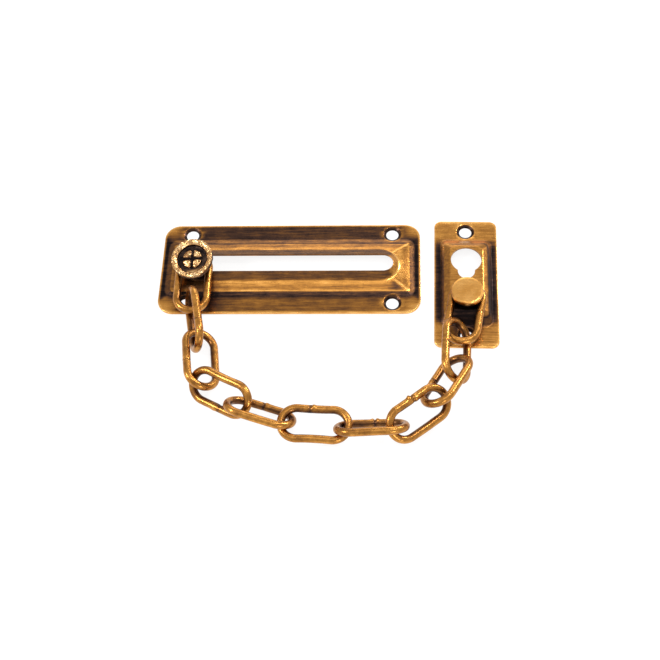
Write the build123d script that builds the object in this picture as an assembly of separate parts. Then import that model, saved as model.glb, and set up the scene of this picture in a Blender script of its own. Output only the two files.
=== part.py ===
from build123d import *

# Door chain guard: a slotted slide plate for the door, a keeper plate for the frame, and the chain that
# runs from the slide button to the keeper stud. It lies flat, with the chain slack in front of the plates.
# Millimetres. +Z points out of the door, +X runs along the slot towards the keeper, and the origin is the
# centre of the slide plate's back face.

import os
from itertools import pairwise

# --- Driving dimensions ---------------------------------------------------------------------------

# Both plates are stamped from one gauge of sheet.
sheet = 1.0
stamped_sheet = 1.05        # the sheet's thickness measured straight up through a slope
edge_round = 0.3            # tumbled outer edges
hole_diameter = 4.8
countersink_diameter = 7.0
hole_land = 0.35            # straight wall left under the countersink
cut_height = 10.0           # more than the height of either plate

# The slide plate and its screws
slide_length = 100.0
slide_width = 41.0
slide_corner = 6.0
slide_screws_x = 78.5
slide_screws_y = 32.0

# The slide plate's raised track, from the flange up to the slot's edge: length, width, corner radius, height
slide_rises = [
    (95.8, 26.6, 3.6, sheet),
    (91.6, 22.4, 1.5, 1.7),
    (83.8, 14.6, 7.28, 2.9),
    (79.2, 7.6, 3.78, 4.8),
]
slot_width = 7.6
slot_end = 35.8             # centre of the slot's round end
entry_x = -35.6             # centre of the entry hole at the slot's other end
entry_diameter = 11.6

# The keeper plate, which lies a little askew beside the slide plate
keeper_x = 67.15
keeper_y = -6.8
keeper_turn = -1.1          # degrees
keeper_length = 57.4
keeper_width = 24.0
keeper_corner = 2.8
keeper_screws_y = 47.4
keeper_rises = [
    (39.0, 19.4, 2.6, sheet),
    (33.6, 16.8, 2.0, 3.1),
    (29.0, 12.4, 2.6, 4.5),
]
keeper_top = 4.5
keyhole_y = 8.1
keyhole_diameter = 11.6
keyhole_throat = 6.4
keyhole_drop = 5.4          # from the large circle's centre down to the small one's

# The stud riveted to the keeper plate
stud_y = -9.7
stud_spigot = 3.8
stud_tail_diameter = 6.4
stud_tail = 0.9
stud_neck = 5.2
stud_neck_length = 3.6
stud_head = 12.1
stud_head_height = 2.4
stud_head_round = 0.8

# The slide button: a rivet that carries a hollow cup. Heights are along its axis, from the pivot point.
button_at = (-35.6, -1.5, 4.3)
button_lean_front = 10.0    # degrees, towards -Y
button_lean_side = 6.0      # degrees, towards -X
back_head_diameter = 10.6
back_head_bottom = -3.1
back_head_top = -2.3
neck_diameter = 4.0
cup_base = 5.3
cup_floor = 6.6
cup_rim = 8.5
cup_diameter = 16.0
cup_waist = 14.6
cup_recess = 11.2
cup_chamfer = 0.5           # bevels round the foot and outside the rim
cup_foot = 0.9              # heights over the base: top of the foot, the waist, and the start of the wall
cup_waist_low = 1.3
cup_waist_high = 1.8
cup_wall = 2.3
cup_lip = 1.1               # bevel inside the rim
spigot_diameter = 3.4
stake_diameter = 7.8
stake_height = 1.3
stake_groove = 1.3          # width of the two crossed grooves
stake_groove_depth = 0.9

# Chain links, all alike
wire = 3.0
link_length = 27.0
link_width = 14.3

# How each link lies, from the button to the stud: centre, heading, climb and lean in degrees.
# Heading turns about +Z from +X, climb lifts the leading end, and lean rolls the link about its length.
link_lie = [
    (-36.1, -10.2, 6.2, -90, -2, 0),
    (-34.0, -27.4, 7.6, -79, -2, 71),
    (-30.4, -43.4, 5.4, -82, 5, -33),
    (-22.0, -58.0, 7.0, -30, 7, 44),
    (-7.5, -65.5, 6.0, -16, -5, -40),
    (12.0, -69.5, 5.0, -3, 0, 8),
    (32.0, -71.5, 6.5, 0, 5, -48),
    (48.5, -66.5, 7.5, 39, -2, 38),
    (58.6, -53.2, 7.3, 62, -10, -35),
    (62.4, -40.4, 6.8, 87, -1, 46),
    (65.9, -23.9, 6.1, 79, 2, 0),
]

# --- Shared shapes --------------------------------------------------------------------------------


def slab(length, width, corner, low, high):
    """An upright slab with rounded corners."""
    return extrude(Pos(0, 0, low) * RectangleRounded(length, width, corner), high - low)


def mound(rises, lowered):
    """The solid mound under a stamped surface, lowered by the sheet's thickness for its hollow side."""
    layers = []
    for foot, crown in pairwise(rises):
        outlines = [
            Pos(0, 0, height - lowered) * RectangleRounded(length, width, corner)
            for length, width, corner, height in (foot, crown)
        ]
        layers.append(loft(outlines, ruled=True))
    return layers[0].fuse(*layers[1:])


def drum(diameter, low, high):
    """An upright cylinder between two heights."""
    return Pos(0, 0, low) * Cylinder(diameter / 2, high - low, align=(Align.CENTER, Align.CENTER, Align.MIN))


def screw_hole():
    """The cutter for a countersunk hole in the flange."""
    flare = Pos(0, 0, hole_land) * Cone(
        hole_diameter / 2,
        countersink_diameter / 2,
        sheet - hole_land,
        align=(Align.CENTER, Align.CENTER, Align.MIN),
    )
    return drum(hole_diameter, 0, hole_land) + flare + drum(countersink_diameter, sheet, cut_height)


def stamped_plate(length, width, corner, rises):
    """A flat flange with a hollow raised middle."""
    flange = slab(length, width, corner, 0, sheet)
    rim = flange.edges().group_by(Axis.Z)[-1]
    flange = fillet(rim, edge_round)
    return flange + mound(rises, 0) - mound(rises, stamped_sheet)


# --- The plates -----------------------------------------------------------------------------------


def slide_plate():
    """The plate on the door: a raised track with a slot that starts at the entry hole."""
    plate = stamped_plate(slide_length, slide_width, slide_corner, slide_rises)
    slot_run = slot_end - entry_x
    slot = Pos((slot_end + entry_x) / 2, 0, 0) * SlotCenterToCenter(slot_run, slot_width)
    opening = slot + Pos(entry_x, 0, 0) * Circle(entry_diameter / 2)
    plate -= extrude(opening, cut_height)
    for x in (-slide_screws_x / 2, slide_screws_x / 2):
        for y in (-slide_screws_y / 2, slide_screws_y / 2):
            plate -= Pos(x, y, 0) * screw_hole()
    return plate


def keeper_plate():
    """The plate on the frame, in its own place at the origin: a keyhole above the stud's rivet hole."""
    plate = Rot(0, 0, 90) * stamped_plate(keeper_length, keeper_width, keeper_corner, keeper_rises)
    throat = Pos(0, -keyhole_drop / 2, 0) * SlotCenterToCenter(keyhole_drop, keyhole_throat, rotation=90)
    opening = throat + Circle(keyhole_diameter / 2)
    plate -= extrude(Pos(0, keyhole_y, 0) * opening, cut_height)
    plate -= Pos(0, stud_y, 0) * drum(stud_spigot, 0, cut_height)
    for y in (-keeper_screws_y / 2, keeper_screws_y / 2):
        plate -= Pos(0, y, 0) * screw_hole()
    return plate


def keeper_stud():
    """The headed stud, with its tail riveted over under the keeper plate."""
    shoulder = keeper_top + stud_neck_length
    underside = keeper_top - stamped_sheet
    tail = drum(stud_tail_diameter, underside - stud_tail, underside)
    spigot = drum(stud_spigot, underside, keeper_top)
    neck = drum(stud_neck, keeper_top, shoulder)
    head = drum(stud_head, shoulder, shoulder + stud_head_height)
    head = fillet(head.edges().group_by(Axis.Z)[-1], stud_head_round)
    return Pos(0, stud_y, 0) * (tail + spigot + neck + head)


# --- The slide button -----------------------------------------------------------------------------


def button_cup():
    """The hollow cup: a drum with a waist round its side and a recess in its face."""
    rim = cup_diameter / 2
    waist = cup_waist / 2
    recess = cup_recess / 2
    bore = spigot_diameter / 2
    profile = Polyline(
        (bore, cup_base),
        (waist, cup_base),
        (rim, cup_base + cup_chamfer),
        (rim, cup_base + cup_foot),
        (waist, cup_base + cup_waist_low),
        (waist, cup_base + cup_waist_high),
        (rim, cup_base + cup_wall),
        (rim, cup_rim - cup_chamfer),
        (rim - cup_chamfer, cup_rim),
        (recess + cup_lip, cup_rim),
        (recess, cup_rim - cup_lip),
        (recess, cup_floor),
        (bore, cup_floor),
        close=True,
    )
    return revolve(Plane.XZ * make_face(profile), Axis.Z)


def button_rivet():
    """The rivet: a wide back head behind the plate, the neck, and an end staked into four lobes."""
    back_head = drum(back_head_diameter, back_head_bottom, back_head_top)
    neck = drum(neck_diameter, back_head_top, cup_base)
    spigot = drum(spigot_diameter, cup_base, cup_floor)
    stake = drum(stake_diameter, cup_floor, cup_floor + stake_height)
    groove = Box(stake_diameter, stake_groove, 2 * stake_groove_depth)
    for turn in (0, 90):
        stake -= Pos(0, 0, cup_floor + stake_height) * Rot(0, 0, turn) * groove
    return back_head + neck + spigot + stake


# --- The chain ------------------------------------------------------------------------------------


def chain_link():
    """One link, lying flat along X: two straight legs joined by two half rings."""
    bend = (link_width - wire) / 2
    leg = link_length - link_width
    link = Part()
    for side in (-1, 1):
        link += Pos(0, side * bend, 0) * Rot(0, 90, 0) * Cylinder(wire / 2, leg)
    section = Plane.YZ * Pos(bend, 0) * Circle(wire / 2)
    half_ring = revolve(section, Axis((0, 0, 0), (0, 0, -1)), 180)
    for turn in (0, 180):
        link += Rot(0, 0, turn) * Pos(leg / 2, 0, 0) * half_ring
    return link


# --- The whole guard ------------------------------------------------------------------------------


def guard():
    """Every piece in its own place, by name."""
    on_keeper = Pos(keeper_x, keeper_y, 0) * Rot(0, 0, keeper_turn)
    on_button = Pos(*button_at) * Rot(button_lean_front, 0, 0) * Rot(0, -button_lean_side, 0)
    pieces = {
        "slide_plate": slide_plate(),
        "slide_button_cup": on_button * button_cup(),
        "slide_button_rivet": on_button * button_rivet(),
        "keeper_plate": on_keeper * keeper_plate(),
        "keeper_stud": on_keeper * keeper_stud(),
    }
    link = chain_link()
    for number, (x, y, z, heading, climb, lean) in enumerate(link_lie, start=1):
        lie = Pos(x, y, z) * Rot(0, 0, heading) * Rot(0, -climb, 0) * Rot(lean, 0, 0)
        pieces[f"chain_link_{number:02d}"] = lie * link
    return pieces


os.makedirs("parts", exist_ok=True)
for name, piece in guard().items():
    export_step(piece, f"parts/{name}.step")
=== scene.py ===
# Door chain guard in antique brass: a slotted slide plate, its button, eleven chain links, and a keeper
# plate with a stud. Every piece is rebuilt in finer detail in its CAD node's place. Shapes are worked out
# in millimetres and turned into metres when their meshes are made.

import math
import random

import bmesh
import bpy
import numpy as np
from mathutils import Matrix, Vector, noise


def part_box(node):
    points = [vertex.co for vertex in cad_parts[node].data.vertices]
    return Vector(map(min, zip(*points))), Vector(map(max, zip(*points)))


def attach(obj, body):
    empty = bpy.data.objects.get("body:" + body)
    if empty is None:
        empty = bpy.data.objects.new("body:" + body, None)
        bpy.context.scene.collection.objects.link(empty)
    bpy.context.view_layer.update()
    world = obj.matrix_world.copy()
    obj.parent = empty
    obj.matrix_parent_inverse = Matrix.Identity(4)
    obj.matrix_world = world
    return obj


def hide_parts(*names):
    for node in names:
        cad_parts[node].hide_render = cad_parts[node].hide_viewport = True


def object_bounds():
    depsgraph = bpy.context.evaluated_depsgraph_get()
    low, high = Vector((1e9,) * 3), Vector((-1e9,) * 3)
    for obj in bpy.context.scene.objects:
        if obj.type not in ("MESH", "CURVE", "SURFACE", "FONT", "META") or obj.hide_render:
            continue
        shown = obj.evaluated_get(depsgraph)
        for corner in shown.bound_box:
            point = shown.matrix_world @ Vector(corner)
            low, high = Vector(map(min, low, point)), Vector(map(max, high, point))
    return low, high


MM = 0.001

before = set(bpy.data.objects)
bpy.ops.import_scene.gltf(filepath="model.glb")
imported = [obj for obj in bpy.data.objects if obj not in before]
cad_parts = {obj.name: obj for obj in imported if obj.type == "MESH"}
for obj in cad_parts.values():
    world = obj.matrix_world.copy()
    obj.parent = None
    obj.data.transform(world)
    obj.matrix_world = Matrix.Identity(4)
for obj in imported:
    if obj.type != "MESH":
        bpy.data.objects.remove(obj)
cad_low, cad_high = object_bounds()
dice = random.Random(11)

# --- Driving dimensions, as in the CAD, in millimetres --------------------------------------------

sheet = 1.0
stamped_sheet = 1.05
hole_radius = 2.4
countersink_radius = 3.5
hole_land = 0.35
cut_low, cut_high = -1.0, 9.0   # every cutter reaches past both faces of a plate

# The outlines that the sheet is stamped to: length, width, corner radius, height
slide_outline = (100.0, 41.0, 6.0, 0.0)
slide_rises = [
    (95.8, 26.6, 3.6, 1.0),
    (91.6, 22.4, 1.5, 1.7),
    (83.8, 14.6, 7.28, 2.9),
    (79.2, 7.6, 3.78, 4.8),
]
slide_holes = [(x, y) for x in (-39.25, 39.25) for y in (-16.0, 16.0)]
entry_x = -35.6
entry_radius = 5.8

keeper_outline = (57.4, 24.0, 2.8, 0.0)
keeper_rises = [
    (39.0, 19.4, 2.6, 1.0),
    (33.6, 16.8, 2.0, 3.1),
    (29.0, 12.4, 2.6, 4.5),
]
keeper_holes = [(0.0, -23.7), (0.0, 23.7)]
keyhole_y = 8.1
keyhole_radius = 5.8
keyhole_throat = 3.2
keyhole_drop = 5.4
stud_y = -9.7
stud_spigot = 1.9

wire = 1.5
link_length = 27.0
link_width = 14.3

# --- Mesh helpers ---------------------------------------------------------------------------------


def smoothstep(low, high, value):
    t = np.clip((value - low) / (high - low), 0.0, 1.0)
    return t * t * (3.0 - 2.0 * t)


def bump_noise(points, scale, seed):
    """Smooth noise from -1 to 1 at each point, with features about 1/scale millimetres wide."""
    shift = Vector((seed * 17.3, seed * 5.1, seed * 9.7))
    return np.array([noise.noise(Vector(p) * scale + shift) for p in points])


def make_mesh(name, points, faces):
    """A mesh from points in millimetres, with its faces turned outwards."""
    mesh = bpy.data.meshes.new(name)
    mesh.from_pydata([Vector(p) * MM for p in points], [], faces)
    skin = bmesh.new()
    skin.from_mesh(mesh)
    bmesh.ops.recalc_face_normals(skin, faces=skin.faces)
    if skin.calc_volume(signed=True) < 0:
        bmesh.ops.reverse_faces(skin, faces=skin.faces)
    skin.to_mesh(mesh)
    skin.free()
    return mesh


def ring_faces(ring_count, size, wrap):
    """The quads between rings of points, and a cap on each end if the stack of rings doesn't wrap round."""
    faces = []
    for ring in range(ring_count if wrap else ring_count - 1):
        after = (ring + 1) % ring_count
        for i in range(size):
            j = (i + 1) % size
            faces.append((ring * size + i, ring * size + j, after * size + j, after * size + i))
    if not wrap:
        faces.append(tuple(range(size)))
        faces.append(tuple((ring_count - 1) * size + i for i in range(size)))
    return faces


def towards(here, other, distance):
    """The points a short way from here to other, never past the middle."""
    gap = other - here
    length = np.maximum(np.linalg.norm(gap, axis=-1, keepdims=True), 1e-9)
    return here + gap * np.minimum(distance / length, 0.45)


def rounded_stack(corners, rounds, steps, spans, wrap):
    """Rings of points through the corner rings, with each corner rounded off and each span divided."""
    count = len(corners)
    first = [
        here if not wrap and k == 0 else towards(here, corners[k - 1], rounds[k])
        for k, here in enumerate(corners)
    ]
    last = [
        here if not wrap and k == count - 1 else towards(here, corners[(k + 1) % count], rounds[k])
        for k, here in enumerate(corners)
    ]
    rings = []
    for k, here in enumerate(corners):
        if not wrap and k in (0, count - 1):
            rings.append(here)
        else:
            for t in np.linspace(0.0, 1.0, steps + 1):
                rings.append((1 - t) ** 2 * first[k] + 2 * t * (1 - t) * here + t**2 * last[k])
        if wrap or k < count - 1:
            start = last[k]
            end = first[(k + 1) % count]
            for t in np.linspace(0.0, 1.0, spans[k] + 1)[1:-1]:
                rings.append(start + (end - start) * t)
    return rings


def outline(length, width, corner, height, hip=45.0, side_steps=8, arc_steps=6, long_steps=26):
    """A ring of points round a rounded rectangle, always the same count, anticlockwise from +X.
    hip is the angle on the corner's arc where the fold from the next outline's corner meets it."""
    radius = width / 2 if width / 2 - corner < 0.1 else corner
    straight = width / 2 - radius
    centre = np.array([length / 2 - radius, straight])
    if straight > 0:
        side = [(length / 2, straight * k / side_steps) for k in range(side_steps)]
        turn = np.radians(np.linspace(0, hip, arc_steps, endpoint=False))
    else:
        side = []
        turn = np.radians(np.linspace(0, hip, side_steps + arc_steps, endpoint=False))
    rest = np.radians(np.linspace(hip, 90, arc_steps, endpoint=False))
    arc = [tuple(centre + radius * np.array([math.cos(a), math.sin(a)])) for a in (*turn, *rest)]
    run = [((length / 2 - radius) * (1 - k / long_steps), width / 2) for k in range(long_steps)]
    quarter = np.array(side + arc + run)
    end = np.array([[0.0, width / 2]])
    back = np.concatenate([end, quarter[:0:-1]])
    half = np.concatenate([quarter, back * (-1, 1)])
    loop = np.concatenate([half, half * (-1, -1)])
    return np.column_stack([loop, np.full(len(loop), height)])


def lathe(name, profile, steps, segments, spans, shape=None):
    """A solid turned round +Z from its profile's corners, given as (radius, height, round).
    shape, if given, moves the points: it takes and returns an array of them."""
    turn = np.linspace(0, 2 * math.pi, segments, endpoint=False)
    circle = np.column_stack([np.cos(turn), np.sin(turn)])
    corners = [
        np.column_stack([circle * radius, np.full(segments, height)]) for radius, height, _ in profile
    ]
    rounds = [rounding for _, _, rounding in profile]
    wrap = min(radius for radius, _, _ in profile) > 0.5
    rings = rounded_stack(corners, rounds, steps, spans, wrap)
    points = np.concatenate(rings)
    if shape is not None:
        points = shape(points)
    return make_mesh(name, points, ring_faces(len(rings), segments, wrap))


merge_distance = 0.02       # closer points left by a cut are merged
sliver = 0.01               # thinner faces left by a cut are dissolved


def cut(mesh, cutters):
    """The mesh with the cutter meshes taken out of it, as one clean closed skin."""
    body = bpy.data.objects.new("body_being_cut", mesh)
    bpy.context.scene.collection.objects.link(body)
    tools = []
    for cutter in cutters:
        tool = bpy.data.objects.new("cutter", cutter)
        bpy.context.scene.collection.objects.link(tool)
        tools.append(tool)
        difference = body.modifiers.new("cut", "BOOLEAN")
        difference.operation = "DIFFERENCE"
        difference.solver = "EXACT"
        difference.object = tool
    result = bpy.data.meshes.new_from_object(body.evaluated_get(bpy.context.evaluated_depsgraph_get()))
    for extra in (body, *tools):
        bpy.data.objects.remove(extra)
    skin = bmesh.new()
    skin.from_mesh(result)
    bmesh.ops.remove_doubles(skin, verts=skin.verts, dist=merge_distance * MM)
    bmesh.ops.dissolve_degenerate(skin, dist=sliver * MM, edges=skin.edges)
    bmesh.ops.holes_fill(skin, edges=skin.edges, sides=6)
    bmesh.ops.recalc_face_normals(skin, faces=skin.faces)
    bmesh.ops.triangulate(skin, faces=[face for face in skin.faces if len(face.verts) > 4])
    bmesh.ops.dissolve_degenerate(skin, dist=sliver * MM, edges=skin.edges)
    skin.to_mesh(result)
    skin.free()
    return result


def cutter_drum(x, y, profile, segments=64):
    """A cutter turned from (radius, height) corners, standing at x, y."""
    circle = [
        (math.cos(2 * math.pi * i / segments), math.sin(2 * math.pi * i / segments)) for i in range(segments)
    ]
    points = [(x + radius * c, y + radius * s, height) for radius, height in profile for c, s in circle]
    return make_mesh("cutter", points, ring_faces(len(profile), segments, False))


def screw_hole(x, y):
    """The cutter for a countersunk hole whose mouth is rolled over a little."""
    lip = 0.14
    return cutter_drum(
        x,
        y,
        [
            (hole_radius, cut_low),
            (hole_radius, hole_land - 0.05),
            (hole_radius + 0.06, hole_land + 0.02),
            (countersink_radius - lip, sheet - lip),
            (countersink_radius - 0.02, sheet - 0.04),
            (countersink_radius + 0.08, sheet + 0.01),
            (countersink_radius + 0.08, cut_high),
        ],
    )


def place(mesh, matrix):
    """The mesh moved by a matrix whose shift is in metres."""
    mesh.transform(matrix)
    return mesh


def inside_distance(x, y, length, width, corner):
    """How far inside a rounded rectangle each point is; negative outside."""
    qx = np.abs(x) - (length / 2 - corner)
    qy = np.abs(y) - (width / 2 - corner)
    outside = np.hypot(np.maximum(qx, 0), np.maximum(qy, 0))
    return -(outside + np.minimum(np.maximum(qx, qy), 0) - corner)


# --- The finish -----------------------------------------------------------------------------------

# The patina's colours from rubbed bright to nearly black, with each one's place on the scale of tone
PATINA = [
    (0.00, (0.95, 0.52, 0.160)),
    (0.18, (0.70, 0.325, 0.072)),
    (0.38, (0.41, 0.175, 0.038)),
    (0.58, (0.185, 0.080, 0.028)),
    (0.80, (0.066, 0.034, 0.024)),
    (1.00, (0.013, 0.009, 0.009)),
]

# The button is worn through to a paler, pinker metal.
PALE_PATINA = [
    (0.00, (0.96, 0.65, 0.34)),
    (0.16, (0.76, 0.44, 0.18)),
    (0.36, (0.44, 0.23, 0.09)),
    (0.56, (0.19, 0.10, 0.046)),
    (0.80, (0.066, 0.042, 0.032)),
    (1.00, (0.013, 0.009, 0.009)),
]

BLOTCH_SCALE = 260.0        # features a metre
PIT_SCALE = 900.0
STREAK_SCALE = 1.5          # features a millimetre across the grain
FINE_SCALE = 5.5
RELIEF_DEPTH = 0.0001       # metres


def brass(name, patina, blotch, streak, pits, rough_bright, rough_dark, relief):
    """Antique brass. The mesh's tone says how dark it is painted, by its patina and by painted shade and
    highlights, and its grain which way its polish runs.
    blotch, streak and pits are how much each one darkens it, and relief is how deep they show."""
    material = bpy.data.materials.new(name)
    material.use_nodes = True
    tree = material.node_tree
    nodes = tree.nodes
    link = tree.links.new
    shader = nodes["Principled BSDF"]
    shader.inputs["Metallic"].default_value = 1.0

    tone = nodes.new("ShaderNodeAttribute")
    tone.attribute_name = "tone"
    grain = nodes.new("ShaderNodeAttribute")
    grain.attribute_name = "grain"
    place_of = nodes.new("ShaderNodeTexCoord")

    def noise_of(source, scale, detail, roughness):
        texture = nodes.new("ShaderNodeTexNoise")
        texture.inputs["Scale"].default_value = scale
        texture.inputs["Detail"].default_value = detail
        texture.inputs["Roughness"].default_value = roughness
        link(source, texture.inputs["Vector"])
        return texture.outputs["Fac"]

    def maths(operation, first, second, clamp=False):
        node = nodes.new("ShaderNodeMath")
        node.operation = operation
        node.use_clamp = clamp
        for socket, value in zip(node.inputs, (first, second)):
            if isinstance(value, (int, float)):
                socket.default_value = value
            else:
                link(value, socket)
        return node.outputs[0]

    def swing(source, amount):
        """Noise centred on zero and scaled."""
        return maths("MULTIPLY", maths("SUBTRACT", source, 0.5), amount)

    blotches = noise_of(place_of.outputs["Object"], BLOTCH_SCALE, 5.0, 0.62)
    streaks = noise_of(grain.outputs["Vector"], STREAK_SCALE, 6.0, 0.66)
    fine = noise_of(grain.outputs["Vector"], FINE_SCALE, 4.0, 0.7)
    specks = nodes.new("ShaderNodeTexVoronoi")
    specks.inputs["Scale"].default_value = PIT_SCALE
    link(place_of.outputs["Object"], specks.inputs["Vector"])
    pit = maths("SUBTRACT", 1.0, maths("MULTIPLY", specks.outputs["Distance"], 4.0, clamp=True), clamp=True)

    shade = maths("ADD", tone.outputs["Fac"], swing(blotches, blotch))
    shade = maths("ADD", shade, swing(streaks, streak))
    shade = maths("ADD", shade, swing(fine, streak * 0.45))
    shade = maths("ADD", shade, maths("MULTIPLY", pit, pits), clamp=True)

    ramp = nodes.new("ShaderNodeValToRGB")
    stops = ramp.color_ramp.elements
    while len(stops) < len(patina):
        stops.new(0.5)
    for stop, (position, colour) in zip(stops, patina):
        stop.position = position
        stop.color = (*colour, 1.0)
    link(shade, ramp.inputs["Fac"])
    link(ramp.outputs["Color"], shader.inputs["Base Color"])

    roughness = nodes.new("ShaderNodeMapRange")
    roughness.inputs["To Min"].default_value = rough_bright
    roughness.inputs["To Max"].default_value = rough_dark
    link(maths("ADD", shade, swing(fine, 0.5), clamp=True), roughness.inputs["Value"])
    link(roughness.outputs["Result"], shader.inputs["Roughness"])

    height = maths("ADD", maths("MULTIPLY", streaks, 0.6), maths("MULTIPLY", fine, 0.4))
    height = maths("SUBTRACT", height, maths("MULTIPLY", pit, 0.5))
    bump = nodes.new("ShaderNodeBump")
    bump.inputs["Strength"].default_value = relief
    bump.inputs["Distance"].default_value = RELIEF_DEPTH
    link(height, bump.inputs["Height"])
    link(bump.outputs["Normal"], shader.inputs["Normal"])
    return material


# name, patina, blotch, streak, pits, rough_bright, rough_dark, relief
plate_brass = brass("plate_antique_brass", PATINA, 0.40, 0.80, 0.12, 0.24, 0.36, 0.5)
button_brass = brass("button_antique_brass", PALE_PATINA, 0.95, 0.40, 0.45, 0.18, 0.42, 1.0)
chain_brass = brass("chain_antique_brass", PATINA, 0.55, 0.50, 0.22, 0.22, 0.38, 0.6)
stud_brass = brass("stud_antique_brass", PATINA, 0.34, 0.26, 0.14, 0.24, 0.36, 0.5)


def add_piece(name, mesh, material, body, tone, grain, sharp=38.0):
    """Shows the mesh in place of the CAD node of the same name. tone and grain are one value a point."""
    mesh.name = name
    mesh.materials.clear()
    mesh.materials.append(material)
    for polygon in mesh.polygons:
        polygon.material_index = 0
    mesh.shade_smooth()
    mesh.set_sharp_from_angle(angle=math.radians(sharp))
    mesh.attributes.new("tone", "FLOAT", "POINT").data.foreach_set("value", tone.astype(np.float32))
    mesh.attributes.new("grain", "FLOAT_VECTOR", "POINT").data.foreach_set(
        "vector", grain.astype(np.float32).ravel()
    )
    piece = bpy.data.objects.new("fine_" + name, mesh)
    bpy.context.scene.collection.objects.link(piece)
    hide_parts(name)
    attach(piece, body)
    return piece


def points_of(mesh):
    """The mesh's points in millimetres."""
    flat = np.zeros(len(mesh.vertices) * 3)
    mesh.vertices.foreach_get("co", flat)
    return flat.reshape(-1, 3) / MM


def up_of(mesh):
    """How far up each point's normal looks, from -1 to 1."""
    flat = np.zeros(len(mesh.vertices) * 3)
    mesh.vertices.foreach_get("normal", flat)
    return flat.reshape(-1, 3)[:, 2]


# --- Where the CAD pieces are ---------------------------------------------------------------------


def inertia_of(node):
    """A CAD solid's centre in millimetres, and its second moments with their directions, smallest first."""
    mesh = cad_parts[node].data
    mesh.calc_loop_triangles()
    points = points_of(mesh)
    corners = np.array([triangle.vertices[:] for triangle in mesh.loop_triangles])
    a, b, c = (points[corners[:, k]] for k in range(3))
    volume = np.einsum("ij,ij->i", a, np.cross(b, c)) / 6
    total = volume.sum()
    centre = ((a + b + c) / 4 * volume[:, None]).sum(0) / total
    spread = np.zeros((3, 3))
    for first in (a, b, c):
        for second in (a, b, c):
            share = 0.1 if first is second else 0.05
            spread += share * np.einsum("i,ij,ik->jk", volume, first, second)
    spread = spread / total - np.outer(centre, centre)
    moments, directions = np.linalg.eigh(spread)
    return centre, moments, directions


def matrix_of(x_axis, y_axis, z_axis, centre):
    """A placing matrix in metres from three directions and a centre in millimetres."""
    matrix = Matrix.Identity(4)
    for column, axis in enumerate((x_axis, y_axis, z_axis)):
        for row in range(3):
            matrix[row][column] = axis[row]
    for row in range(3):
        matrix[row][3] = centre[row] * MM
    return matrix


def turned_frame(node, lowest):
    """The placing matrix of a turned CAD solid that stands up, whose lowest point along its axis is at that
    height in its own frame."""
    centre, moments, directions = inertia_of(node)
    odd = 2 if moments[2] - moments[1] > moments[1] - moments[0] else 0
    axis = directions[:, odd]
    axis = axis * np.sign(axis[2])
    x_axis = np.array([1.0, 0, 0]) - axis * axis[0]
    x_axis /= np.linalg.norm(x_axis)
    along = points_of(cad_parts[node].data) @ axis
    start = centre + axis * (along.min() - centre @ axis - lowest)
    return matrix_of(x_axis, np.cross(axis, x_axis), axis, start)


# --- The slide plate ------------------------------------------------------------------------------


def plate_corners(outer, rises, hips):
    """The corner rings of a stamped plate from the foot of its outer edge to the top of its rise."""
    length, width, corner, _ = outer
    return [
        outline(length, width, corner, 0.0),
        outline(length, width, corner, sheet),
        *(outline(*rise, hip=hip) for rise, hip in zip(rises, hips)),
    ]


def underside(rises, hips):
    """The corner rings of the hollow under a rise, from its top out to where it runs out at the back."""
    rings = [
        outline(l, w, r, h - stamped_sheet, hip=hip)
        for (l, w, r, h), hip in zip(rises[:0:-1], hips[:0:-1])
    ]
    (l0, w0, r0, h0), (l1, w1, r1, h1) = rises[:2]
    share = (h1 - stamped_sheet) / (h1 - h0)
    mouth = (l1 + (l0 - l1) * share, w1 + (w0 - w1) * share, r1 + (r0 - r1) * share, 0.0)
    return [*rings, outline(*mouth)]


def slide_plate():
    """The slide plate. Its rings run up its outer edge and rise, down the slot's wall and out underneath."""
    hips = (45.0, 45.0, 52.0, 52.0)
    corners = plate_corners(slide_outline, slide_rises, hips) + underside(slide_rises, hips)
    # For each corner ring in turn: how far it is rounded off, and into how many the span after it divides
    rounds = [0.15, 0.38, 0.75, 0.5, 0.55, 0.16, 0.12, 0.5, 0.5, 0.3]
    spans = [1, 8, 3, 5, 5, 1, 3, 4, 3, 4]
    rings = rounded_stack(corners, rounds, 5, spans, True)
    mesh = make_mesh("slide", np.concatenate(rings), ring_faces(len(rings), len(corners[0]), True))
    cutters = [screw_hole(x, y) for x, y in slide_holes]
    cutters.append(cutter_drum(entry_x, 0.0, [(entry_radius, cut_low), (entry_radius, cut_high)], 96))
    return cut(mesh, cutters)


def with_holes(tone, x, y, z, centres):
    """The tone with each countersink painted nearly black, as its patina and as painted shade, inside a
    painted highlight round its lip.
    """
    away = np.min([np.hypot(x - cx, y - cy) for cx, cy in centres], axis=0)
    # A painted highlight in a ring round each hole's mouth.
    lip = np.exp(-(((away - countersink_radius - 0.2) / 0.22) ** 2)) * (z > 0.5 * sheet)
    # Each countersink painted nearly black, for its patina and its shade.
    inside = 1.0 - smoothstep(countersink_radius - 0.22, countersink_radius + 0.02, away)
    inside = inside * (z < sheet - 0.03)
    return np.maximum(tone * (1 - 0.55 * lip), inside)


def by_side(x, y, size, right, back, left, front):
    """A value for each side of a rectangle of that length and width, blended across its diagonals."""
    length, width = size
    over = (np.abs(x) - length / 2) - (np.abs(y) - width / 2)
    share = smoothstep(-1.2, 1.2, over)
    ends = np.where(x > 0, right, left)
    sides = np.where(y > 0, back, front)
    return sides + (ends - sides) * share


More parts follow.
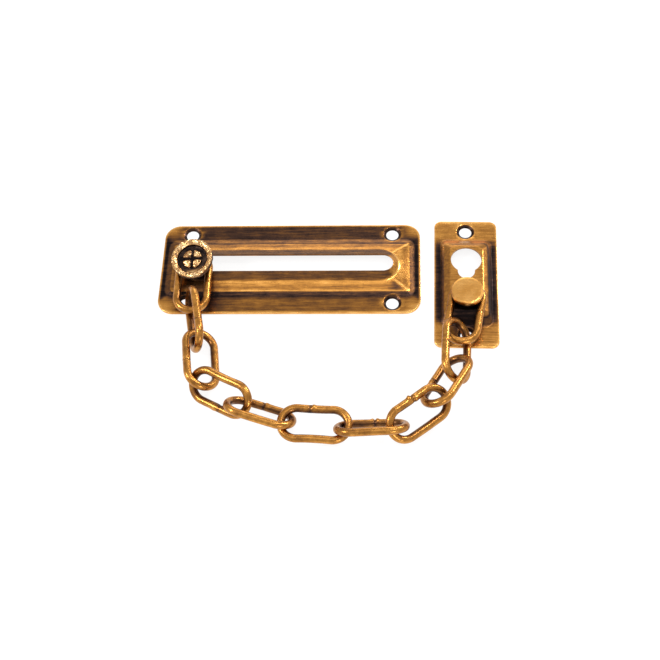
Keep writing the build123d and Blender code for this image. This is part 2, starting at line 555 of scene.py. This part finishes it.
def slide_tone(points):
    """How dark the slide plate is: dark flanges, slopes and creases and lighter edges and crests, with
    painted highlights along the ridge's right end and the hips, and painted shade below the front hip, along
    the back and left crests and by the button.
    """
    x, y, z = points.T
    base, crest, ridge, _ = slide_rises
    past_outer = inside_distance(x, y, *slide_outline[:3])
    past_base = inside_distance(x, y, *base[:3])
    past_crest = inside_distance(x, y, *crest[:3])
    past_ridge = inside_distance(x, y, *ridge[:3])
    size = base[:2]
    flange = by_side(x, y, size, right=0.92, back=0.76, left=0.95, front=0.50)
    slope = by_side(x, y, size, right=0.66, back=0.58, left=0.62, front=0.80)
    strip = by_side(x, y, crest[:2], right=0.30, back=0.42, left=0.36, front=0.32)
    strip = strip + 0.10 * np.cos((past_crest - 1.6) * 1.7)
    inner = by_side(x, y, ridge[:2], right=0.30, back=0.62, left=0.58, front=0.62)
    tone = flange + (slope - flange) * smoothstep(-0.35, 0.25, past_base)
    tone = tone + (strip - tone) * smoothstep(-0.25, 0.2, past_crest)
    tone = tone + (inner - tone) * smoothstep(-0.3, 0.9, past_ridge)
    rim = 1.0 - smoothstep(0.3, 1.1, past_outer)
    corner = smoothstep(41.0, 47.0, np.abs(x)) * smoothstep(12.5, 18.0, np.abs(y))
    tone = tone * (1 - 0.85 * rim) * (1 - 0.7 * corner)
    crease = np.exp(-(((past_base + 0.3) / 0.7) ** 2))
    tone = tone + crease * by_side(x, y, size, right=0.15, back=0.05, left=0.1, front=0.18)
    # Painted shade along the crest's fold at the back and left, and a little painted highlight along the
    # front.
    crest_line = np.exp(-(((past_crest - 0.1) / 0.26) ** 2))
    tone = tone + crest_line * by_side(x, y, crest[:2], right=0.0, back=0.50, left=0.2, front=-0.12)
    # Painted highlight along the ridge's round right end; the hip lines get one below.
    wear_and_sheen = np.exp(-(((past_ridge - 0.05) / 0.45) ** 2)) * smoothstep(34.0, 39.5, x)
    hip_from = np.array([ridge[0] / 2 - 3.0, ridge[1] / 2 - 1.6])
    hip_run = np.array([crest[0] / 2 - 0.4, crest[1] / 2 - 0.4]) - hip_from
    offset = np.column_stack([np.abs(x), np.abs(y)]) - hip_from
    share = np.clip(offset @ hip_run / (hip_run @ hip_run), 0.0, 1.0)
    from_hip = np.linalg.norm(offset - share[:, None] * hip_run, axis=1)
    # Painted shade on the front strip just below the right front hip.
    shade_below_hip = np.exp(-(((x - 41.0) / 2.6) ** 2)) * smoothstep(0.2, 1.2, from_hip) * (y < -7.0)
    tone = tone + 0.38 * shade_below_hip * smoothstep(0.0, 0.6, past_crest)
    # Painted highlight down each right-hand hip line.
    wear_and_sheen = np.maximum(wear_and_sheen, np.exp(-((from_hip / 0.42) ** 2)) * (x > 0))
    tone = tone * (1 - 0.92 * wear_and_sheen)
    # Painted shade on the front flange by the button, under the first link.
    painted_shade_under_parts = np.exp(-((np.hypot(x - entry_x - 1.0, (y + 15.5) * 0.8) / 8.0) ** 2))
    tone = tone + 0.45 * painted_shade_under_parts
    return np.clip(with_holes(tone, x, y, z, slide_holes), 0.0, 1.0)


def with_back(mesh, tone):
    """The tone with the faces that look down an even, unpolished brown."""
    back_tone = 0.55
    down = smoothstep(0.1, 0.4, -up_of(mesh))
    return tone * (1 - down) + back_tone * down


def plate_grain(points):
    """Polish marks that run along X."""
    return points * (0.07, 1.0, 1.0)


mesh = slide_plate()
points = points_of(mesh)
add_piece(
    "slide_plate",
    mesh,
    plate_brass,
    "slide_plate",
    with_back(mesh, slide_tone(points)),
    plate_grain(points),
)

# --- The keeper plate and its stud ----------------------------------------------------------------


def keyhole_cutter():
    """The cutter for the keyhole, a circle that runs down into a narrow round-ended throat."""
    meet = math.asin(keyhole_throat / keyhole_radius)
    big = np.linspace(-math.pi / 2 + meet, 3 * math.pi / 2 - meet, 64)
    small = np.linspace(math.pi, 2 * math.pi, 24)
    ring = [(keyhole_radius * math.cos(a), keyhole_y + keyhole_radius * math.sin(a)) for a in big]
    throat_y = keyhole_y - keyhole_drop
    ring += [(keyhole_throat * math.cos(a), throat_y + keyhole_throat * math.sin(a)) for a in small]
    points = [(px, py, height) for height in (cut_low, cut_high) for px, py in ring]
    return make_mesh("cutter", points, ring_faces(2, len(ring), False))


def keeper_plate():
    """The keeper plate with its long side along Y, round its own centre."""
    hips = (45.0, 45.0, 45.0)
    corners = plate_corners(keeper_outline, keeper_rises, hips)
    length, width, corner, height = keeper_rises[-1]
    for inset in (2.0, 4.0, 6.15):
        shrunk = (length - 2 * inset, width - 2 * inset, max(corner - inset, 0.03))
        corners.append(outline(*shrunk, height))
    below = underside(keeper_rises, hips)
    below_top = [outline(*shrunk, height - stamped_sheet)]
    stack = [*corners[::-1], *below[::-1], *below_top]
    # For each corner ring in turn, from the middle of the top to the middle of its underside
    rounds = [0.0, 0.5, 0.5, 0.6, 0.5, 0.7, 0.38, 0.15, 0.3, 0.5, 0.5, 0.0]
    spans = [2, 2, 2, 4, 4, 5, 1, 4, 3, 4, 3, 1]
    rings = rounded_stack(stack, rounds, 5, spans, False)
    mesh = make_mesh("keeper", np.concatenate(rings), ring_faces(len(rings), len(stack[0]), False))
    mesh.transform(Matrix.Rotation(math.pi / 2, 4, "Z"))
    cutters = [*(screw_hole(x, y) for x, y in keeper_holes), keyhole_cutter()]
    cutters.append(cutter_drum(0.0, stud_y, [(stud_spigot, cut_low), (stud_spigot, cut_high)], 48))
    return cut(mesh, cutters)


def keeper_tone(points):
    """How dark the keeper plate is: dark down its long sides and lighter at its worn ends, with painted
    shade under the stud and chain and along its right crest.
    """
    x, y, z = points.T
    base, middle, top = keeper_rises
    past_outer = inside_distance(y, x, *keeper_outline[:3])
    past_base = inside_distance(y, x, *base[:3])
    past_middle = inside_distance(y, x, *middle[:3])
    past_top = inside_distance(y, x, *top[:3])
    ends = smoothstep(15.0, 21.0, np.abs(y))
    flange = 0.88 + (0.29 - 0.88) * ends
    slope = 0.70 + (0.30 - 0.70) * smoothstep(6.0, 16.0, y)
    tone = flange + (slope - flange) * smoothstep(-0.35, 0.25, past_base)
    tone = tone + (0.40 - tone) * smoothstep(-0.3, 0.2, past_middle)
    tone = tone + (0.29 - tone) * smoothstep(-0.3, 0.5, past_top)
    # Painted shade along the right side of the middle rise's crest.
    crest_line = np.exp(-(((past_middle + 0.1) / 0.5) ** 2)) * smoothstep(4.0, 7.0, x) * (1 - ends)
    tone = tone + 0.40 * crest_line
    rim = 1.0 - smoothstep(0.2, 0.8, past_outer)
    tone = tone * (1 - 0.85 * rim)
    crease = np.exp(-(((past_base + 0.2) / 0.6) ** 2)) * (1 - 0.7 * ends)
    tone = tone + 0.2 * crease
    # Painted shade round and below the stud, where the chain hangs.
    painted_shade_under_parts = smoothstep(4.0, -9.0, y) * (1 - smoothstep(3.0, 7.5, np.hypot(x, (y + 17.0) * 0.45)))
    tone = tone + 0.6 * painted_shade_under_parts
    return np.clip(with_holes(tone, x, y, z, keeper_holes), 0.0, 1.0)


keeper_low, keeper_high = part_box("keeper_plate")
_, _, keeper_directions = inertia_of("keeper_plate")
keeper_long = keeper_directions[:, 2] * np.sign(keeper_directions[1, 2])
keeper_up = np.array([0.0, 0.0, 1.0])
keeper_long[2] = 0.0
keeper_long /= np.linalg.norm(keeper_long)
keeper_centre = np.array(keeper_low + keeper_high) / 2 / MM
keeper_centre[2] = 0.0
keeper_place = matrix_of(np.cross(keeper_long, keeper_up), keeper_long, keeper_up, keeper_centre)

mesh = keeper_plate()
points = points_of(mesh)
keeper_plate_tone = with_back(mesh, keeper_tone(points))
add_piece(
    "keeper_plate",
    place(mesh, keeper_place),
    plate_brass,
    "keeper",
    keeper_plate_tone,
    plate_grain(points) + (31.0, 7.0, 3.0),
)

keeper_top = keeper_rises[-1][3]
stud_tail = 0.9
stud_tail_radius = 3.2
stud_neck_radius = 2.6
stud_head_radius = 6.05
stud_head_low = keeper_top + 3.6
stud_head_high = stud_head_low + 2.4
stud_lowest = keeper_top - stamped_sheet - stud_tail


def worn_disc(points):
    """The stud's head, a little out of round and crowned."""
    turn = np.arctan2(points[:, 1], points[:, 0])
    radius = np.hypot(points[:, 0], points[:, 1])
    on_head = smoothstep(stud_head_low - 0.1, stud_head_low + 0.3, points[:, 2])
    squash = 1.0 - on_head * (0.010 + 0.010 * np.cos(4 * turn + 0.6) + 0.006 * np.cos(3 * turn))
    points = points * np.column_stack([squash, squash, np.ones(len(points))])
    top = smoothstep(stud_head_high - 0.3, stud_head_high - 0.05, points[:, 2])
    points[:, 2] -= top * (0.16 * (radius / 6.0) ** 2 + 0.02 + 0.02 * bump_noise(points, 0.7, seed=5))
    return points


stud_mesh = lathe(
    "stud",
    [
        (0.05, stud_lowest, 0.0),
        (stud_tail_radius, stud_lowest, 0.3),
        (stud_tail_radius, keeper_top - stamped_sheet, 0.1),
        (stud_spigot, keeper_top - stamped_sheet, 0.05),
        (stud_spigot, keeper_top, 0.05),
        (stud_neck_radius, keeper_top, 0.1),
        (stud_neck_radius, stud_head_low, 0.25),
        (stud_head_radius, stud_head_low, 0.35),
        (stud_head_radius, stud_head_high, 0.95),
        (0.05, stud_head_high, 0.0),
    ],
    6,
    96,
    [4, 2, 2, 2, 1, 4, 5, 3, 12, 1],
    worn_disc,
)
stud_points = points_of(stud_mesh)
on_top = smoothstep(stud_head_low + 0.2, stud_head_low + 1.2, stud_points[:, 2])
stud_place = turned_frame("keeper_stud", stud_lowest)
add_piece(
    "keeper_stud",
    place(stud_mesh, stud_place),
    stud_brass,
    "keeper",
    0.76 - 0.64 * on_top,
    stud_points * (0.25, 1.0, 1.0),
)

# --- The slide button -----------------------------------------------------------------------------

cup_base = 5.3
cup_floor = 6.6
cup_rim = 8.5
cup_radius = 8.0
cup_waist = 7.3
cup_recess = 5.6
cup_bore = 1.7
back_head_low = -3.1
back_head_high = -2.3
back_head_radius = 5.3
neck_radius = 2.0
stake_radius = 3.9
stake_high = cup_floor + 1.3


def beaten(points):
    """The cup's rim, dented all over and pitted."""
    radius = np.hypot(points[:, 0], points[:, 1])
    out = points[:, :2] / np.maximum(radius, 1e-6)[:, None]
    on_rim = smoothstep(cup_recess - 0.6, cup_recess + 0.6, radius)
    high = smoothstep(cup_rim - 0.9, cup_rim - 0.2, points[:, 2])
    dents = np.abs(bump_noise(points, 0.6, seed=2)) * 0.60 + np.abs(bump_noise(points, 1.9, seed=3)) * 0.36
    wobble = 0.10 * (1 + np.cos(3 * np.arctan2(points[:, 1], points[:, 0]) + 1.2)) / 2
    points[:, 2] -= high * on_rim * dents
    shift = on_rim * (0.5 * dents + wobble)
    inner = 1 - smoothstep(cup_recess, cup_recess + 1.0, radius)
    shift = shift * (1 - 2 * inner * on_rim)
    points[:, :2] -= out * shift[:, None]
    return points


cup_mesh = lathe(
    "cup",
    [
        (cup_bore, cup_base, 0.05),
        (cup_waist, cup_base, 0.2),
        (cup_radius, cup_base + 0.5, 0.3),
        (cup_radius, cup_base + 0.9, 0.2),
        (cup_waist, cup_base + 1.3, 0.2),
        (cup_waist, cup_base + 1.8, 0.2),
        (cup_radius, cup_base + 2.3, 0.3),
        (cup_radius, cup_rim, 0.75),
        (cup_recess + 1.1, cup_rim, 0.55),
        (cup_recess, cup_rim - 1.1, 0.4),
        (cup_recess, cup_floor, 0.5),
        (cup_bore, cup_floor, 0.05),
    ],
    4,
    144,
    [6, 1, 1, 1, 1, 1, 1, 2, 2, 2, 6, 2],
    beaten,
)
cup_points = points_of(cup_mesh)
cup_away = np.hypot(cup_points[:, 0], cup_points[:, 1])
on_face = smoothstep(cup_rim - 1.5, cup_rim - 0.9, cup_points[:, 2])
in_recess = 1 - smoothstep(cup_recess - 0.1, cup_recess + 0.35, cup_away)
# The cup's sides and recess are painted dark, as patina and as painted shade; the face of its rim is worn
# bright.
cup_tone = 0.80 - 0.70 * on_face
cup_tone = cup_tone + (0.92 - cup_tone) * in_recess * (cup_points[:, 2] > cup_base + 0.4)
# A painted highlight on the near side of the recess, at the foot of its wall.
painted_recess_highlight = np.exp(-(((np.arctan2(cup_points[:, 1], cup_points[:, 0]) + math.pi / 2 - 0.1) / 0.5) ** 2))
painted_recess_highlight = painted_recess_highlight * smoothstep(4.2, 4.8, cup_away) * (cup_points[:, 2] > cup_floor - 0.1)
cup_tone = cup_tone * (1 - painted_recess_highlight)
cup_tone = cup_tone + 0.9 * np.maximum(0, bump_noise(cup_points, 1.3, seed=9) - 0.08) * on_face
cup_place = turned_frame("slide_button_cup", cup_base)
add_piece(
    "slide_button_cup",
    place(cup_mesh, cup_place),
    button_brass,
    "slide_button",
    cup_tone,
    cup_points,
)


def staked(points):
    """The rivet's end, spread into four lobes by a crossed punch."""
    x, y, z = points.T
    radius = np.hypot(x, y)
    high = smoothstep(cup_floor + 0.05, cup_floor + 0.6, z) * (z > cup_floor)
    groove = np.exp(-((x / 0.62) ** 2)) + np.exp(-((y / 0.62) ** 2))
    groove = np.minimum(groove, 1.0)
    pinch = 0.26 * smoothstep(1.5, stake_radius, radius) * groove
    dents = np.abs(bump_noise(points, 1.1, seed=7))
    crown = 0.55 * smoothstep(1.8, stake_radius, radius) + 0.25 * dents
    points[:, 2] -= high * np.minimum(0.95 * groove + crown * (1 - groove), z - cup_floor - 0.02)
    factor = 1.0 - high * (pinch + 0.06 * dents)
    points[:, 0] *= factor
    points[:, 1] *= factor
    return points


rivet_mesh = lathe(
    "rivet",
    [
        (0.02, back_head_low, 0.0),
        (back_head_radius, back_head_low, 0.3),
        (back_head_radius, back_head_high, 0.25),
        (neck_radius, back_head_high, 0.2),
        (neck_radius, cup_base, 0.05),
        (cup_bore, cup_base, 0.05),
        (cup_bore, cup_floor, 0.05),
        (stake_radius, cup_floor, 0.1),
        (stake_radius, stake_high, 0.45),
        (0.02, stake_high, 0.0),
    ],
    5,
    120,
    [4, 1, 3, 4, 1, 1, 2, 3, 22, 1],
    staked,
)
rivet_points = points_of(rivet_mesh)
in_groove = np.minimum(np.abs(rivet_points[:, 0]), np.abs(rivet_points[:, 1]))
stake_tone = 0.22 + 0.7 * (1 - smoothstep(0.3, 0.8, in_groove))
stake_tone = stake_tone + 0.5 * bump_noise(rivet_points, 1.2, seed=12)
stake_tone = stake_tone + 0.5 * (1 - smoothstep(cup_floor + 0.2, cup_floor + 0.7, rivet_points[:, 2]))
rivet_tone = np.where(rivet_points[:, 2] > cup_floor - 0.1, np.clip(stake_tone, 0, 1), 0.6)
add_piece(
    "slide_button_rivet",
    place(rivet_mesh, turned_frame("slide_button_rivet", back_head_low)),
    button_brass,
    "slide_button",
    rivet_tone,
    rivet_points + (9.0, 4.0, 0.0),
)

# --- The chain ------------------------------------------------------------------------------------

bend = link_width / 2 - wire
leg = (link_length - link_width) / 2
LEFT, RIGHT = 1, -1

# Weld marks, by the link's number: the leg, looking along the chain from the button; the place along it;
# the direction on the wire in degrees, with 0 away from the link's middle and 90 up; the height of the
# bump, which is negative for a seam; its length; and how far round the wire it goes, in radians.
WELDS = {
    2: [(LEFT, 3.6, 60.0, -0.12, 0.22, 3.0)],
    3: [(RIGHT, 2.2, 40.0, -0.14, 0.20, 3.0), (RIGHT, 1.7, 20.0, 0.10, 0.5, 1.6)],
    4: [(RIGHT, -0.5, 40.0, 0.16, 0.9, 1.0), (RIGHT, 1.6, 200.0, -0.16, 0.6, 0.8)],
    5: [(LEFT, 1.0, 70.0, 0.22, 0.7, 1.3), (LEFT, 0.1, 70.0, -0.16, 0.3, 3.0)],
    6: [(LEFT, -0.6, 55.0, 0.40, 0.62, 0.7), (LEFT, -1.9, 75.0, -0.30, 0.50, 0.7)],
    7: [
        (LEFT, 0.0, 30.0, 0.62, 0.62, 0.8),
        (LEFT, 1.8, 95.0, 0.42, 0.60, 0.9),
        (LEFT, 0.9, 90.0, -0.25, 0.40, 2.0),
    ],
    8: [
        (LEFT, -0.4, 20.0, 0.70, 0.62, 0.75),
        (LEFT, 1.5, 100.0, 0.42, 0.65, 0.9),
        (LEFT, 0.6, 60.0, -0.28, 0.40, 3.0),
    ],
    9: [(LEFT, -1.2, 95.0, 0.18, 0.5, 0.9), (LEFT, -0.6, 90.0, -0.18, 0.25, 3.0)],
    10: [(LEFT, 0.8, 80.0, -0.12, 0.25, 3.0), (LEFT, 1.4, 60.0, 0.12, 0.6, 1.3)],
    11: [(LEFT, 1.5, 70.0, -0.14, 0.22, 3.0), (RIGHT, 1.2, 70.0, -0.14, 0.22, 3.0)],
}
STATIONS = 224              # rings of points round a link
ROUND = 26                  # points round the wire


def link_line():
    """Points and outward directions round the middle of a link's wire, in its own plane."""
    straight = 2 * leg
    curve = math.pi * bend
    total = 2 * (straight + curve)
    places = []
    for s in np.linspace(0, total, STATIONS, endpoint=False):
        if s < straight:
            places.append((leg - s, bend, 0.0, 1.0))
        elif s < straight + curve:
            a = math.pi / 2 + (s - straight) / bend
            places.append((-leg + bend * math.cos(a), bend * math.sin(a), math.cos(a), math.sin(a)))
        elif s < 2 * straight + curve:
            places.append((s - straight - curve - leg, -bend, 0.0, -1.0))
        else:
            a = -math.pi / 2 + (s - 2 * straight - curve) / bend
            places.append((leg + bend * math.cos(a), bend * math.sin(a), math.cos(a), math.sin(a)))
    return np.array(places)


def near_weld(line, which, at, reach):
    """How near each station is to a place on one of the legs, from 0 to 1."""
    on_that_leg = (np.sign(line[:, 1]) == which) * (np.abs(line[:, 0]) < leg)
    return np.exp(-(((line[:, 0] - at) / reach) ** 2)) * on_that_leg


def chain_link(number):
    """One link round its own centre, its length along X, with its welds and small dents."""
    line = link_line()
    bow_left, bow_right, lift, ripple = (dice.uniform(-1, 1) for _ in range(4))
    phase = 2 * math.pi * np.arange(ROUND) / ROUND
    theta = 2 * math.pi * np.arange(STATIONS) / STATIONS
    on_leg = np.cos(np.clip(line[:, 0] / leg, -1, 1) * math.pi / 2)
    side = np.sign(line[:, 1])
    bow = np.where(side > 0, bow_left, bow_right) * 0.16 * on_leg - 0.05 * on_leg
    middle = line[:, :2] + line[:, 2:] * bow[:, None]
    rise = 0.07 * lift * np.cos(2 * theta) + 0.03 * ripple * np.cos(5 * theta)
    cos_p, sin_p = np.cos(phase), np.sin(phase)
    radius = np.full((STATIONS, ROUND), wire)
    radius -= 0.05 * np.abs(np.cos(theta))[:, None] * np.maximum(0, -cos_p)[None, :] ** 4
    for which, at, direction, height, reach, spread in WELDS.get(number, []):
        along = near_weld(line, which, at, reach)
        apart = (phase - math.radians(direction) + math.pi) % (2 * math.pi) - math.pi
        radius += height * along[:, None] * np.exp(-((apart / spread) ** 2))[None, :]
    x = middle[:, 0, None] + line[:, 2, None] * radius * cos_p
    y = middle[:, 1, None] + line[:, 3, None] * radius * cos_p
    z = rise[:, None] + radius * sin_p
    points = np.stack([x, y, z], axis=-1).reshape(-1, 3)
    out = np.stack(
        [line[:, 2, None] * cos_p, line[:, 3, None] * cos_p, np.broadcast_to(sin_p, x.shape)], axis=-1
    ).reshape(-1, 3)
    small_dents = np.abs(bump_noise(points, 0.75, seed=number)) * 0.035
    wide_dents = np.abs(bump_noise(points, 0.3, seed=number + 40)) * 0.05
    points -= out * (small_dents + wide_dents)[:, None]

    inner = np.maximum(0, -cos_p)[None, :] ** 2 * np.ones((STATIONS, 1))
    wear_and_sheen = np.abs(np.sin(theta - math.pi / 4))[:, None] * np.ones((1, ROUND))
    seam_tone, bead_tone = 0.26, -0.06
    tone = 0.30 + 0.36 * inner + 0.05 * wear_and_sheen
    for which, at, _, height, reach, _ in WELDS.get(number, []):
        tone += (seam_tone if height < 0 else bead_tone) * near_weld(line, which, at, reach * 1.5)[:, None]
    tone = tone.ravel() + 0.10 * bump_noise(points, 0.35, seed=number + 80)
    major = 3.2             # of the ring that the streaks run round, against a wire of 1
    grain = np.stack(
        [
            (major + cos_p) * np.cos(theta)[:, None],
            (major + cos_p) * np.sin(theta)[:, None],
            np.broadcast_to(sin_p, x.shape),
        ],
        axis=-1,
    ).reshape(-1, 3)
    mesh = make_mesh("link", points, ring_faces(STATIONS, ROUND, True))
    return mesh, np.clip(tone, 0.03, 1.0), grain + number * 13.0


link_names = sorted(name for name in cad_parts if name.startswith("chain_link_"))
link_centres = [inertia_of(name)[0] for name in link_names]
stud_centre = inertia_of("keeper_stud")[0]
for number, name in enumerate(link_names, start=1):
    centre, _, directions = inertia_of(name)
    after = link_centres[number] if number < len(link_names) else stud_centre
    length_axis = directions[:, 2] * np.sign(directions[:, 2] @ (after - centre))
    up_axis = directions[:, 0] * np.sign(directions[2, 0])
    width_axis = np.cross(up_axis, length_axis)
    mesh, tone, grain = chain_link(number)
    add_piece(
        name,
        place(mesh, matrix_of(length_axis, width_axis, up_axis, centre)),
        chain_brass,
        "link_" + name[-2:],
        tone,
        grain,
        sharp=80.0,
    )

# --- Floor, light and camera ----------------------------------------------------------------------

scene = bpy.context.scene
scene.view_settings.view_transform = "Standard"

floor_half = 2.5
floor_gap = 0.00005         # below the lowest face, so that the two never fight
floor_grey = 0.22
floor_glow = 0.86           # keeps the floor white where a shadow falls
room_light = 0.70
floor_mesh = bpy.data.meshes.new("floor")
floor_sides = ((-1, -1), (1, -1), (1, 1), (-1, 1))
floor_mesh.from_pydata([(x * floor_half, y * floor_half, 0) for x, y in floor_sides], [], [(0, 1, 2, 3)])
floor = bpy.data.objects.new("floor", floor_mesh)
floor.location = (0, 0, cad_low.z - floor_gap)
scene.collection.objects.link(floor)
pale = bpy.data.materials.new("pale_floor")
pale.use_nodes = True
pale_shader = pale.node_tree.nodes["Principled BSDF"]
pale_shader.inputs["Base Color"].default_value = (floor_grey, floor_grey, floor_grey, 1.0)
pale_shader.inputs["Roughness"].default_value = 0.9
pale_shader.inputs["Specular IOR Level"].default_value = 0.0
pale_shader.inputs["Emission Color"].default_value = (1.0, 1.0, 1.0, 1.0)
pale_shader.inputs["Emission Strength"].default_value = floor_glow
floor_mesh.materials.append(pale)

world = bpy.data.worlds.new("soft_room")
world.use_nodes = True
background = world.node_tree.nodes["Background"]
background.inputs["Color"].default_value = (1.0, 1.0, 1.0, 1.0)
background.inputs["Strength"].default_value = room_light
scene.world = world

middle = (cad_low + cad_high) / 2


def soft_light(name, azimuth, elevation, distance, size, watts):
    """A soft square light aimed at the middle of the guard. Azimuth 0 stands on the camera's side.
    The angles are in degrees, and the distance and the light's size in metres."""
    a = math.radians(azimuth)
    e = math.radians(elevation)
    away = Vector((math.sin(a) * math.cos(e), -math.cos(a) * math.cos(e), math.sin(e)))
    lamp = bpy.data.lights.new(name, "AREA")
    lamp.shape = "SQUARE"
    lamp.size = size
    lamp.energy = watts
    light = bpy.data.objects.new(name, lamp)
    light.location = middle + away * distance
    light.rotation_mode = "QUATERNION"
    light.rotation_quaternion = (-away).to_track_quat("-Z", "Y")
    scene.collection.objects.link(light)


soft_light("overhead_softbox", 0, 86, 0.9, 0.45, 0.5)
soft_light("back_softbox", 178, 25, 0.8, 0.40, 0.9)
soft_light("left_softbox", -80, 42, 0.8, 0.16, 2.0)
soft_light("right_softbox", 128, 32, 0.8, 0.10, 2.0)
soft_light("high_softbox", 117, 67, 0.8, 0.06, 0.9)
soft_light("front_softbox", 25, 22, 0.9, 0.20, 1.4)

# The camera, solved from the corners and holes of the two plates
camera_at = Vector((40.4, -264.0, 380.5)) * MM
yaw, pitch, roll = (math.radians(angle) for angle in (-5.88, 58.0, -5.03))
ahead = Vector((math.sin(yaw) * math.cos(pitch), math.cos(yaw) * math.cos(pitch), -math.sin(pitch)))
right = Vector((math.cos(yaw), -math.sin(yaw), 0))
upward = right.cross(ahead)
turned_right = math.cos(roll) * right + math.sin(roll) * upward
turned_up = -math.sin(roll) * right + math.cos(roll) * upward
lens = bpy.data.cameras.new("camera")
lens.lens = 65.6
lens.sensor_width = 36.0
lens.clip_start = 0.01
camera = bpy.data.objects.new("camera", lens)
camera.matrix_world = Matrix(
    [
        (turned_right.x, turned_up.x, -ahead.x, camera_at.x),
        (turned_right.y, turned_up.y, -ahead.y, camera_at.y),
        (turned_right.z, turned_up.z, -ahead.z, camera_at.z),
        (0, 0, 0, 1),
    ]
)
scene.collection.objects.link(camera)
scene.camera = camera
